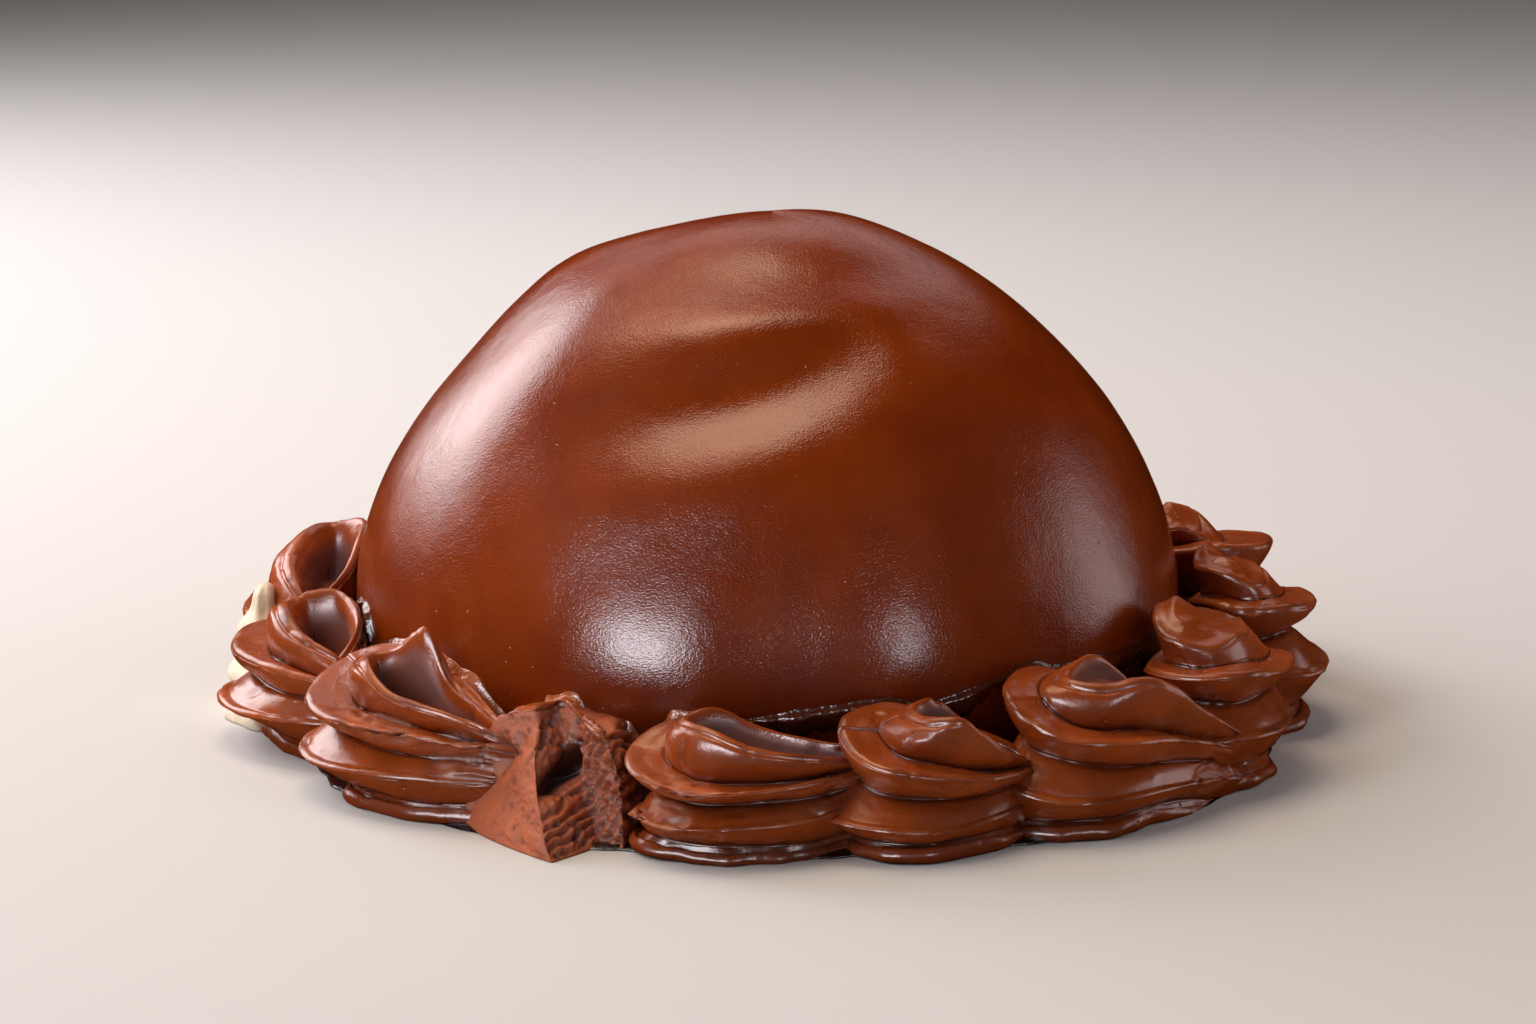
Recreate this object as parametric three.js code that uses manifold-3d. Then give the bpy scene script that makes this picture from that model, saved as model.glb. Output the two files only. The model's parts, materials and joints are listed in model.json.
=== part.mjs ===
// A domed chocolate cake with a ring of piped swirls round its foot.
//
// Millimetres, +Z up. The origin is the middle of the flat underside, and the
// front of the cake looks along -Y. A turn is an angle round the cake, seen
// from above: 0 is the front, and it grows towards +X.

import * as THREE from "three";
import Module from "manifold-3d";

const wasm = await Module();
wasm.setup();

// ---------------------------------------------------------------- sizes

const GAP = 0.3; // kept between neighbours that touch
const SMALLEST_DETAIL = 0.06; // slivers left by a cut are tidied to this
const RIPPLE_FREQUENCIES = [2, 3, 5];

const DOME = {
  offsetX: -2.5, // the dome sits a little to the left inside its ring
  waistZ: 30.7, // height of the widest level
  radius: 98, // at the waist
  rise: 90.7, // from the waist to the top
  skirt: 85, // same measure for the part below the waist
  power: 1.76, // 2 would be a true ellipse, less is pointed
  footReach: 92,
  columns: 42,
  rows: 23,
};

// Bulges (+) and dents (-) of the covering. Each is a soft lump on the dome:
// turn and climb place it, wide and high are its spread along and across,
// lean turns it, all in degrees, and amount is its height in millimetres.
const LUMPS = [
  { name: "left shoulder", turn: -90, climb: 58, wide: 14, high: 14, lean: 0, amount: 4.1 },
  { name: "left flank", turn: -90, climb: 30, wide: 16, high: 16, lean: 0, amount: 0.7 },
  { name: "left foot", turn: -90, climb: 5, wide: 20, high: 20, lean: 0, amount: 1.5 },
  { name: "right shoulder", turn: 90, climb: 58, wide: 14, high: 14, lean: 0, amount: 1.7 },
  { name: "right flank", turn: 90, climb: 30, wide: 16, high: 16, lean: 0, amount: 0.7 },
  { name: "right of the top", turn: 90, climb: 78, wide: 12, high: 12, lean: 0, amount: 1.9 },
  { name: "thumb dent", turn: -5, climb: 42, wide: 22, high: 8.5, lean: 23, amount: -4.6 },
  { name: "rim below the dent", turn: -8, climb: 29, wide: 22, high: 7, lean: 20, amount: 0.8 },
  { name: "brow above the dent", turn: -2, climb: 54, wide: 20, high: 5, lean: 10, amount: 1.2 },
  { name: "flat of the top", turn: 0, climb: 66, wide: 22, high: 7, lean: 0, amount: -1.2 },
  { name: "rim right of the dent", turn: 28, climb: 45, wide: 9, high: 10, lean: 0, amount: 1.2 },
  { name: "left ridge", turn: -52, climb: 42, wide: 12, high: 24, lean: 0, amount: 2.2 },
  { name: "low bulge, left of front", turn: -16, climb: 2, wide: 15, high: 12, lean: 0, amount: 4.4 },
  { name: "low bulge, right of front", turn: 19, climb: 3, wide: 12, high: 10, lean: 0, amount: 2.4 },
  { name: "hollow between them", turn: 2, climb: 9, wide: 10, high: 16, lean: 0, amount: -1.2 },
  { name: "low bulge, right", turn: 52, climb: 3, wide: 14, high: 10, lean: 0, amount: 2 },
  { name: "hollow, left", turn: -50, climb: 8, wide: 14, high: 12, lean: 0, amount: -1.2 },
];

// A swirl is a stack of lips with deep valleys between them. Each lip is an
// egg-shaped loop, blunt at the head and narrow at the tail. Its own axes are
// along (towards the tail, round the cake), out (away from the cake) and up.
const RING_RADIUS = 113; // the line round the cake that the swirls sit on
const PLAIN_LIP = {
  shift: 0, taper: 0.9, rise: 0, peak: 0, peakAt: 0, peakWidth: 8,
  oneSided: 0, // the share of the peak that the outer side of the loop lacks
};
const PLAIN_SWIRL = {
  turn: 0,
  size: 1,
  edge: 1.9, // half the thickness of a lip's rim
  valley: 7, // depth of the valleys between the lips
  valleyAt: 0.45, // how far up from one lip to the next they lie
  slope: 1.5, // how full the top of the low lip is
  curlValley: 8, // the same for the valley under the curl on top
  curlValleyAt: 0.1,
  dip: 1, // how far that valley lies below its lip
  fullness: 1.7, // how soon a lip's face comes out of its valley
  curlFullness: 1.7,
  hollow: 8, // depth of the hollow in the curl, less than 0 for a bulge
  sweep: 1, // how soon the loops drop to the height of the tail
  ripple: 0.7,
  tailBend: { along: 0, out: 0, up: 0 },
  foot: { head: -25, tail: 29, out: 15.5, back: 12, height: 2.4, tailHeight: 1.6 },
  low: { head: -27, tail: 31, out: 18, back: 12, height: 10, tailHeight: 12, rise: 1.5 },
  mid: { head: -24, tail: 32, out: 16, back: 13, height: 25, tailHeight: 20, rise: 4.5 },
  curl: {
    head: -11, tail: 31, out: 8, back: 7, height: 31, tailHeight: 23, rise: 0.5, peak: 2.5,
    peakAt: -2,
  },
};

// What each swirl has of its own, in order round the cake from the front.
const SWIRLS = [
  {
    turn: -4.5, size: 0.95, hollow: 6,
    foot: { out: 15, height: 2.2 },
    low: { head: -24, out: 18.5 },
    mid: { head: -26, out: 17, height: 22.5, tailHeight: 19, rise: 5.5 },
    curl: { head: -14, tail: 33, out: 11, height: 28, tailHeight: 18, peakAt: -7 },
  },
  {
    turn: 15.5, size: 0.95, hollow: 4,
    foot: { head: -18, out: 17.5, height: 2.5 },
    low: { head: -24, out: 18, height: 10.5, tailHeight: 8, rise: 2.5 },
    mid: { head: -19, out: 16.5, height: 27, tailHeight: 13, rise: 6 },
    curl: {
      head: -4, tail: 29, out: 12, back: 6, height: 28, tailHeight: 13, peak: 5.5, peakAt: 5,
      peakWidth: 9,
    },
  },
  {
    turn: 38, hollow: 3, sweep: 1.2, tailBend: { along: 3, out: 13, up: -7 },
    foot: { out: 16, tail: 32 },
    low: { tail: 35, out: 17.5, height: 12, tailHeight: 9, rise: 3 },
    mid: { tail: 36, out: 16.5, height: 29.5, tailHeight: 13, rise: 6.5 },
    curl: {
      head: -10, tail: 38, out: 12, back: 6, height: 31.5, tailHeight: 14, peak: 5.5, peakAt: 5,
      peakWidth: 10,
    },
  },
  {
    turn: 62, hollow: -1.5, curlValley: 6, curlValleyAt: 0.1, edge: 2.2, curlFullness: 1.1, dip: 0,
    foot: { out: 14 },
    low: { out: 19, height: 15, tailHeight: 13, rise: 0.5 },
    mid: { out: 16.5, height: 28.5, rise: 0, taper: 0.6 },
    curl: {
      head: -19, tail: 24, out: 9, back: 11, shift: -2, height: 35, tailHeight: 30, peak: 2,
      peakAt: -4, rise: 3,
    },
  },
  {
    turn: 90, hollow: -1.5, curlValley: 6, curlValleyAt: 0.1, edge: 2.2, curlFullness: 1.1, dip: 0,
    foot: { out: 14 },
    low: { out: 19, height: 16, tailHeight: 13, rise: 0 },
    mid: { out: 14.5, height: 31, rise: -1, taper: 0.6 },
    curl: {
      head: -17, tail: 20, out: 7, back: 11, shift: -3, height: 36.5, tailHeight: 33, peak: 2,
      peakAt: 6, rise: 3,
    },
  },
  {
    turn: 114, hollow: -1, curlValley: 9, curlValleyAt: 0.12, edge: 2.2, curlFullness: 1.15,
    foot: { out: 14 },
    low: { out: 16 },
    mid: { out: 17, height: 35, rise: -1, taper: 0.6 },
    curl: {
      head: -10, tail: 14, out: 7, shift: -6, height: 37, tailHeight: 34, peak: 4.5, peakAt: 2,
      peakWidth: 5,
    },
  },
  { turn: 137 },
  { turn: 160, size: 1.03, curl: { height: 33 } },
  { turn: 183, size: 0.97, mid: { height: 23 }, curl: { height: 30, peak: 3 } },
  { turn: 208, curl: { height: 32, peakAt: 2 } },
  {
    turn: 235, size: 1.02, hollow: 10,
    low: { out: 16 },
    mid: { out: 15 },
    curl: { head: -15, out: 9, back: 9, taper: 0.6, height: 36 },
  },
  {
    turn: 260, size: 1.07, hollow: 12, curlValley: 7, curlValleyAt: 0.02, edge: 2.9,
    foot: { out: 14 },
    mid: { head: -25, out: 20.5, height: 22.5, rise: 1.5 },
    curl: { head: -13, tail: 24, out: 8.5, back: 9, taper: 0.55, height: 37, peak: 1 },
  },
  {
    turn: 284, size: 1.07, hollow: 12, curlValley: 8, curlValleyAt: 0.02, edge: 2.5,
    foot: { head: -21, out: 11 },
    low: { head: -24, out: 21, height: 10.5 },
    mid: { head: -25, out: 17.5, height: 22.5, rise: 1 },
    curl: { head: -8, tail: 23, out: 8, back: 9, taper: 0.55, height: 31, peak: 1 },
  },
  {
    turn: 312.5, size: 1.08, hollow: 8,
    foot: { head: -14, out: 13 },
    low: { head: -28, out: 17, height: 11.5, tailHeight: 9, rise: 2 },
    mid: { head: -27, out: 15, height: 24.5, tailHeight: 15 },
    curl: {
      head: -14, tail: 31, out: 9, height: 27.5, tailHeight: 15, peak: 10.5, peakAt: -3,
      peakWidth: 6, oneSided: 0.85, rise: -1,
    },
  },
];

// The broken swirl: a lump torn away on its right, with an upright edge at
// its front like the back of a knife.
const TORN = {
  turn: -26,
  height: 27,
  left: -21, // along, at the foot
  right: 19,
  back: -16,
  edgeFoot: { along: 9, out: 20.5 },
  edgeTop: { along: -7, out: -4.5 },
  planeSlope: 0.5, // the smooth face left of the edge
  breakSlope: 3.2, // the torn face right of the edge
  breakFoot: 5, // how far out its floor lies, at the foot and at the top
  breakTop: -9,
  breakCurve: 0.022,
  columns: 10, // on each side of the edge
  rows: 9,
};

// A dab of pale cream squeezed out beyond the swirls on the left.
const DAB = {
  turn: -90,
  radius: 125.4,
  halfLength: 17,
  halfWidth: 8.5,
  height: 30,
  columns: 16,
  rows: 8,
};

const COLOURS = {
  dome: 0x6e3420,
  swirl: 0x5e2c18,
  torn: 0x8a4a30,
  dab: 0xd9c5b0,
};

// ---------------------------------------------------------------- shared shapes

const radians = THREE.MathUtils.degToRad;

// A fixed random number between 0 and 1 for each pair of whole numbers.
function noise(a, b) {
  const value = Math.sin(a * 12.9898 + b * 78.233) * 43758.5453;
  return value - Math.floor(value);
}

// A point given along, out and up from a turn on the swirls' line.
function roundTheCake(turn, along, out, up) {
  const angle = radians(turn) + along / RING_RADIUS;
  const radius = RING_RADIUS + out;
  return new THREE.Vector3(radius * Math.sin(angle), -radius * Math.cos(angle), up);
}

function middleOf(points) {
  const middle = new THREE.Vector3();
  points.forEach((point) => middle.add(point));
  return middle.divideScalar(points.length);
}

// Closes a stack of rings, each with the same number of points, lowest first.
// Every ring runs anticlockwise as seen from above.
function skinRings(rings, topPoint) {
  const columns = rings[0].length;
  const points = [...rings.flat(), middleOf(rings[0]), topPoint ?? middleOf(rings.at(-1))];
  const bottomIndex = points.length - 2;
  const topIndex = points.length - 1;
  const lastRing = (rings.length - 1) * columns;
  const index = [];
  for (let column = 0; column < columns; column += 1) {
    const next = (column + 1) % columns;
    for (let row = 0; row < rings.length - 1; row += 1) {
      const a = row * columns + column;
      const b = row * columns + next;
      index.push(a, b, b + columns, a, b + columns, a + columns);
    }
    index.push(bottomIndex, next, column);
    index.push(topIndex, lastRing + column, lastRing + next);
  }
  const geometry = new THREE.BufferGeometry().setFromPoints(points);
  geometry.setIndex(index);
  return geometry;
}

function toSolid(geometry) {
  const vertProperties = Float32Array.from(geometry.getAttribute("position").array);
  const triVerts = Uint32Array.from(geometry.getIndex().array);
  return new wasm.Manifold(new wasm.Mesh({ numProp: 3, vertProperties, triVerts }));
}

function toGeometry(solid) {
  const mesh = solid.getMesh();
  const geometry = new THREE.BufferGeometry();
  geometry.setAttribute("position", new THREE.BufferAttribute(mesh.vertProperties, 3));
  geometry.setIndex(new THREE.BufferAttribute(mesh.triVerts, 1));
  geometry.computeVertexNormals();
  return geometry;
}

// The same skin moved outwards by the gap that neighbours keep.
function grown(geometry) {
  const larger = geometry.clone();
  larger.computeVertexNormals();
  const position = larger.getAttribute("position");
  const normal = larger.getAttribute("normal");
  for (let i = 0; i < position.count; i += 1) {
    position.setXYZ(
      i,
      position.getX(i) + GAP * normal.getX(i),
      position.getY(i) + GAP * normal.getY(i),
      position.getZ(i) + GAP * normal.getZ(i),
    );
  }
  return toSolid(larger);
}

// Takes the neighbours out of a solid and keeps its largest piece.
function fitBetween(geometry, neighbours) {
  let solid = toSolid(geometry);
  neighbours.forEach((neighbour) => {
    solid = solid.subtract(neighbour);
  });
  const pieces = solid.simplify(SMALLEST_DETAIL).decompose();
  pieces.sort((a, b) => b.volume() - a.volume());
  return pieces[0];
}

function piece(name, geometry, colour, roughness) {
  const material = new THREE.MeshStandardMaterial({ color: colour, roughness, metalness: 0 });
  const mesh = new THREE.Mesh(geometry, material);
  mesh.name = name;
  return mesh;
}

// ---------------------------------------------------------------- dome

function lumpAt(lump, turn, climb) {
  const turnAway = THREE.MathUtils.euclideanModulo(turn - lump.turn + 180, 360) - 180;
  const across = turnAway * Math.cos(radians(lump.climb));
  const upwards = climb - lump.climb;
  const cos = Math.cos(radians(lump.lean));
  const sin = Math.sin(radians(lump.lean));
  const alongLump = across * cos + upwards * sin;
  const overLump = upwards * cos - across * sin;
  const fall = (alongLump / lump.wide) ** 2 + (overLump / lump.high) ** 2;
  return lump.amount * Math.exp(-fall);
}

// Distance from the middle of the waist to the surface, in one direction.
function domeReach(turn, climb) {
  const sideways = Math.cos(radians(climb)) / DOME.radius;
  const upwards = Math.sin(radians(climb)) / (climb > 0 ? DOME.rise : DOME.skirt);
  const power = DOME.power;
  const sum = Math.abs(sideways) ** power + Math.abs(upwards) ** power;
  const lumps = LUMPS.reduce((total, lump) => total + lumpAt(lump, turn, climb), 0);
  return sum ** (-1 / power) + lumps;
}

function domePoint(turn, climb) {
  const reach = domeReach(turn, climb);
  const level = reach * Math.cos(radians(climb));
  return new THREE.Vector3(
    DOME.offsetX + level * Math.sin(radians(turn)),
    -level * Math.cos(radians(turn)),
    DOME.waistZ + reach * Math.sin(radians(climb)),
  );
}

function domeGeometry() {
  const lowest = -THREE.MathUtils.radToDeg(Math.atan2(DOME.waistZ, DOME.footReach));
  const rings = [];
  for (let row = 0; row < DOME.rows; row += 1) {
    const climb = lowest + ((90 - lowest) * row) / DOME.rows;
    const ring = [];
    for (let column = 0; column < DOME.columns; column += 1) {
      const point = domePoint((360 * column) / DOME.columns, climb);
      if (row === 0) {
        point.z = 0;
      }
      ring.push(point);
    }
    rings.push(ring);
  }
  return skinRings(rings, domePoint(0, 90));
}

// ---------------------------------------------------------------- swirls

function withOwnSizes(own) {
  const swirl = { ...PLAIN_SWIRL, ...own };
  ["foot", "low", "mid", "curl"].forEach((lip) => {
    swirl[lip] = { ...PLAIN_LIP, ...PLAIN_SWIRL[lip], ...own[lip] };
  });
  return swirl;
}

// A lip between two others, a share of the way up.
function between(lower, upper, share) {
  const lip = {};
  Object.keys(upper).forEach((key) => {
    lip[key] = THREE.MathUtils.lerp(lower[key], upper[key], share);
  });
  return lip;
}

// One point of a lip's loop. The angle is 0 at the tail and pi at the head.
function loopPoint(swirl, lip, angle, inset, lift) {
  const half = Math.sin(angle / 2);
  const head = lip.head + inset;
  const tail = lip.tail - inset * 0.35;
  const along = (tail + head) / 2 + ((tail - head) / 2) * Math.cos(angle);
  const outer = Math.max(lip.out - inset, 0.3);
  const inner = Math.max(lip.back - inset * 0.5, 0.3);
  const width = Math.sin(angle) > 0 ? outer : inner;
  const fullest = 0.78; // the egg's own greatest width
  const out = (width * Math.sin(angle) * half ** lip.taper) / fullest + lip.shift;
  const tailHeight = lip.tailHeight + lift * 0.7;
  const height = lip.height + lift;
  const hump = Math.exp(-(((along - lip.peakAt) / lip.peakWidth) ** 2));
  const peak = lip.peak * hump * (1 - (lip.oneSided * (1 + Math.sin(angle))) / 2);
  const sunk = lip.rise * Math.sin(angle) * half;
  const up = tailHeight + (height - tailHeight) * half ** swirl.sweep - sunk + peak;
  return { along, out, up };
}

// From one lip up to the next: in along the top of the lower one, down to the
// valley, and out along the face of the upper one to its rim.
function risingLoops(swirl, lower, upper, valley) {
  const { at, depth, fullness, slope, dip } = valley;
  const rim = swirl.edge * 0.9;
  const halfWay = rim + (depth - rim) * 0.5 ** slope;
  const face = between(lower, upper, at + (1 - at) * 0.45);
  return [
    { lip: between(lower, upper, at / 2), inset: halfWay, lift: -dip * 0.25 },
    { lip: between(lower, upper, at), inset: depth, lift: -dip },
    { lip: face, inset: depth * 0.55 ** fullness, lift: -dip * 0.3 },
    { lip: upper, inset: 0, lift: -swirl.edge * 0.3 },
    { lip: upper, inset: swirl.edge * 0.35, lift: swirl.edge * 0.12 },
  ];
}

// The curl's loop sunk a share of the way into its hollow.
function hollowLoop(swirl, share) {
  const { curl, hollow, edge } = swirl;
  const open = THREE.MathUtils.clamp(hollow / 6, 0, 1);
  const lip = {
    ...curl,
    height: curl.height - hollow * share,
    tailHeight: curl.tailHeight - 2 * open * share,
    peak: curl.peak * (1 - open * share),
  };
  return { lip, inset: edge * (1.3 + 1.4 * share), lift: edge * 0.22 * (1 - open) };
}

// The loops of a swirl from its foot up.
function loopsOf(swirl) {
  const { foot, low, mid, curl, valley, valleyAt, fullness, slope } = swirl;
  const footValley = { at: 0.25, depth: valley * 0.5, fullness, slope: 1, dip: 0 };
  const midValley = { at: valleyAt, depth: valley, fullness, slope, dip: 0 };
  const curlValley = {
    at: swirl.curlValleyAt,
    depth: swirl.curlValley,
    fullness: swirl.curlFullness,
    slope: 0.6,
    dip: swirl.dip,
  };
  return [
    { lip: foot, inset: 6, lift: 0, flat: true },
    { lip: foot, inset: 1.2, lift: 0, flat: true },
    { lip: foot, inset: 0, lift: 0 },
    ...risingLoops(swirl, foot, low, footValley),
    ...risingLoops(swirl, low, mid, midValley),
    ...risingLoops(swirl, mid, curl, curlValley),
    hollowLoop(swirl, 0.5),
    hollowLoop(swirl, 1),
  ];
}

// Slow uneven waves in the lips, which drift from one lip to the next.
function rippleAt(swirl, seed, angle, level, kind) {
  let total = 0;
  RIPPLE_FREQUENCIES.forEach((frequency, order) => {
    const phase = 2 * Math.PI * noise(seed, 4 * order + 2 * kind);
    const drift = 2 * Math.PI * noise(seed, 4 * order + 2 * kind + 1);
    const size = swirl.ripple / Math.sqrt(frequency);
    total += size * Math.cos(frequency * angle + phase + drift * level);
  });
  return total * Math.sin(angle / 2);
}

function swirlGeometry(own, seed, columns) {
  const swirl = withOwnSizes(own);
  const rings = loopsOf(swirl).map(({ lip, inset, lift, flat }) => {
    const level = THREE.MathUtils.clamp(lip.height / 12, 0, 3);
    const ring = [];
    for (let column = 0; column < columns; column += 1) {
      const angle = (-2 * Math.PI * column) / columns + 2 * Math.PI;
      const point = loopPoint(swirl, lip, angle, inset, lift);
      const side = Math.sin(angle) > 0 ? 1 : -1;
      if (!flat) {
        point.out += 0.8 * side * rippleAt(swirl, seed, angle, level, 0);
        point.up += rippleAt(swirl, seed, angle, level, 1);
      }
      const tailShare = THREE.MathUtils.clamp(point.along / swirl.mid.tail, 0, 1.5) ** 2;
      const along = point.along * swirl.size + swirl.tailBend.along * tailShare;
      const out = point.out * swirl.size + swirl.tailBend.out * tailShare;
      const up = point.up * swirl.size + swirl.tailBend.up * tailShare;
      ring.push(roundTheCake(swirl.turn, along, out, flat ? 0 : Math.max(up, 0.1)));
    }
    return ring;
  });
  return skinRings(rings);
}

// ---------------------------------------------------------------- torn swirl

// The outline of the torn swirl at one share of its height.
function tornRing(share) {
  const left = TORN.left + 2 * share;
  const right = TORN.right - 3 * share;
  const edgeAlong = THREE.MathUtils.lerp(TORN.edgeFoot.along, TORN.edgeTop.along, share);
  const edgeOut = THREE.MathUtils.lerp(TORN.edgeFoot.out, TORN.edgeTop.out, share ** 1.2);
  const narrowing = 1 - 0.18 * share ** 4;
  const ring = [];
  const add = (along, out) => {
    const up = TORN.height * share - 0.012 * (share * (along + 2)) ** 2;
    ring.push(roundTheCake(TORN.turn, along * narrowing, out, Math.max(up, 0)));
  };
  for (let i = 0; i < TORN.columns; i += 1) {
    const along = THREE.MathUtils.lerp(edgeAlong, left, 1 - (1 - i / TORN.columns) ** 1.3);
    const plane = edgeOut - (edgeAlong - along) * (TORN.planeSlope + 0.25 * share);
    add(along, Math.max(plane, 6 - 8 * share));
  }
  for (let i = 0; i < 2 * TORN.columns; i += 1) {
    add(THREE.MathUtils.lerp(left, right, i / (2 * TORN.columns)), TORN.back);
  }
  for (let i = 0; i < TORN.columns; i += 1) {
    const along = THREE.MathUtils.lerp(right, edgeAlong, i / TORN.columns);
    const away = along - edgeAlong;
    const floor = THREE.MathUtils.lerp(TORN.breakFoot, TORN.breakTop, share);
    const torn = floor + TORN.breakCurve * away ** 2;
    add(along, Math.max(edgeOut - away * TORN.breakSlope, torn));
  }
  return ring.reverse();
}

function tornGeometry() {
  const rings = [];
  for (let row = 0; row <= TORN.rows; row += 1) {
    rings.push(tornRing(row / TORN.rows));
  }
  return skinRings(rings);
}

// ---------------------------------------------------------------- dab of cream

// Two lobes and a leaning tip, one ring for each level.
function dabGeometry() {
  const rings = [];
  for (let row = 0; row < DAB.rows; row += 1) {
    const share = row / DAB.rows;
    const lobes = 0.72 + 0.28 * Math.cos(share * 3 * Math.PI) ** 2;
    const size = Math.sqrt(1 - share ** 1.6) * lobes;
    const ring = [];
    for (let column = 0; column < DAB.columns; column += 1) {
      const angle = (2 * Math.PI * column) / DAB.columns;
      const wave = 1 + 0.08 * Math.cos(5 * angle + 2 * share);
      const along = DAB.halfLength * size * wave * Math.cos(angle) - 6 * share ** 2;
      const out = DAB.halfWidth * size * wave * -Math.sin(angle);
      const radiusShift = DAB.radius - RING_RADIUS;
      ring.push(roundTheCake(DAB.turn, along, out + radiusShift, DAB.height * share));
    }
    rings.push(ring);
  }
  return skinRings(rings, roundTheCake(DAB.turn, -7, DAB.radius - RING_RADIUS, DAB.height));
}

// ---------------------------------------------------------------- the cake

const SWIRL_COLUMNS = 16;

const cake = new THREE.Group();
cake.name = "chocolate_cake";

const dome = domeGeometry();
cake.add(piece("dome", toGeometry(toSolid(dome)), COLOURS.dome, 0.32));

const swirls = SWIRLS.map((own, order) => swirlGeometry(own, order + 1, SWIRL_COLUMNS));
const torn = tornGeometry();
const ring = [...swirls, torn];

// The head of each swirl lies over the tail of the one before it.
ring.forEach((geometry, order) => {
  const next = ring[(order + 1) % ring.length];
  const solid = fitBetween(geometry, [grown(dome), grown(next)]);
  if (geometry === torn) {
    cake.add(piece("torn_swirl", toGeometry(solid), COLOURS.torn, 0.55));
  } else {
    const number = String(order + 1).padStart(2, "0");
    cake.add(piece(`swirl_${number}`, toGeometry(solid), COLOURS.swirl, 0.28));
  }
});

const dab = fitBetween(dabGeometry(), [...swirls.map(grown), ...swirls.map(toSolid)]);
cake.add(piece("cream_dab", toGeometry(dab), COLOURS.dab, 0.6));

export default cake;
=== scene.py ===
"""The looks of a domed chocolate cake with a ring of piped swirls round its foot.

Run as a script, it loads the plain solids of the cake, stands a finely shaped
piece in for each of them, and adds the melted glaze that ran down between
them. Shapes are worked out in millimetres, with +Z up and the front of the
cake towards -Y, and become metres when a mesh is made.
"""

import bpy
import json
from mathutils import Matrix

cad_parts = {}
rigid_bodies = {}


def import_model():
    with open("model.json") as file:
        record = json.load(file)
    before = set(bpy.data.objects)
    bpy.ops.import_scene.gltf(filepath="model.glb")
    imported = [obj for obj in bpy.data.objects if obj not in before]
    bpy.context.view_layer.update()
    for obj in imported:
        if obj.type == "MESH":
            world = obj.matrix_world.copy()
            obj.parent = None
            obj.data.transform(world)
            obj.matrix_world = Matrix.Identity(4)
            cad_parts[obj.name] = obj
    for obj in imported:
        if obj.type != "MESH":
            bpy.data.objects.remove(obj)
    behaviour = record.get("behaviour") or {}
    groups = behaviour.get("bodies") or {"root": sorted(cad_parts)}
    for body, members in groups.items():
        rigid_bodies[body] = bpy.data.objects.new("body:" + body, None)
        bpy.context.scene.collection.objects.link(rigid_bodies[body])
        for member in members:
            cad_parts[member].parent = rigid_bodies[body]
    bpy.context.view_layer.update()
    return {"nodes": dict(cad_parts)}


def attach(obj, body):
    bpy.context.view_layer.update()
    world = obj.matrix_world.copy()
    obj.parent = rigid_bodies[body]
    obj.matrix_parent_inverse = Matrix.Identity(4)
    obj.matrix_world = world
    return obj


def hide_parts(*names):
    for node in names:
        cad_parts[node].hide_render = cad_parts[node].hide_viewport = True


bl_info = {
    "name": "Chocolate Cake",
    "version": (1, 0, 0),
    "blender": (4, 5, 0),
    "location": "View3D > Sidebar > Cake",
    "description": "Shapes and finishes a domed chocolate cake with piped swirls",
    "category": "Add Mesh",
}

import json
import math

import bpy
import numpy as np
from bpy.props import FloatProperty, FloatVectorProperty, IntProperty, PointerProperty
from mathutils import Vector

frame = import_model()

MM = 0.001
BODY = "root"

# ---- sizes

RING_RADIUS = 113  # the line round the cake that the swirls sit on

DOME = dict(offset_x=-2.5, waist_z=30.7, radius=98, rise=90.7, skirt=85, power=1.76, foot_reach=92)

# Bulges (+) and dents (-) of the covering: the turn and climb of each one, how
# wide and high it spreads and how it leans, in degrees, and its millimetres.
LUMPS = [
    (-90, 58, 14, 14, 0, 4.1),
    (-90, 30, 16, 16, 0, 0.7),
    (-90, 5, 20, 20, 0, 1.5),
    (90, 58, 14, 14, 0, 1.7),
    (90, 30, 16, 16, 0, 0.7),
    (90, 78, 12, 12, 0, 1.9),
    (-5, 42, 22, 8.5, 23, -4.6),
    (-8, 29, 22, 7, 20, 0.8),
    (-2, 54, 20, 5, 10, 1.2),
    (0, 66, 22, 7, 0, -1.2),
    (28, 45, 9, 10, 0, 1.2),
    (-52, 42, 12, 24, 0, 2.2),
    (-16, 2, 15, 12, 0, 4.4),
    (19, 3, 12, 10, 0, 2.4),
    (2, 9, 10, 16, 0, -1.2),
    (52, 3, 14, 10, 0, 2),
    (-50, 8, 14, 12, 0, -1.2),
]

# A swirl is a stack of lips. Each lip is an egg-shaped loop, blunt at the head
# and narrow at the tail, with its own axes: along, out and up.
PLAIN_LIP = dict(shift=0, taper=0.9, rise=0, peak=0, peak_at=0, peak_width=8, one_sided=0)
PLAIN_SWIRL = dict(
    turn=0, size=1, edge=1.9, valley=7, valley_at=0.45, slope=1.5, curl_valley=8,
    curl_valley_at=0.1, dip=1, fullness=1.7, curl_fullness=1.7, hollow=8, sweep=1, ripple=0.7,
    tail_bend=(0, 0, 0),
    foot=dict(head=-25, tail=29, out=15.5, back=12, height=2.4, tail_height=1.6),
    low=dict(head=-27, tail=31, out=18, back=12, height=10, tail_height=12, rise=1.5),
    mid=dict(head=-24, tail=32, out=16, back=13, height=25, tail_height=20, rise=4.5),
    curl=dict(
        head=-11, tail=31, out=8, back=7, height=31, tail_height=23, rise=0.5, peak=2.5, peak_at=-2,
    ),
)

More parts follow.
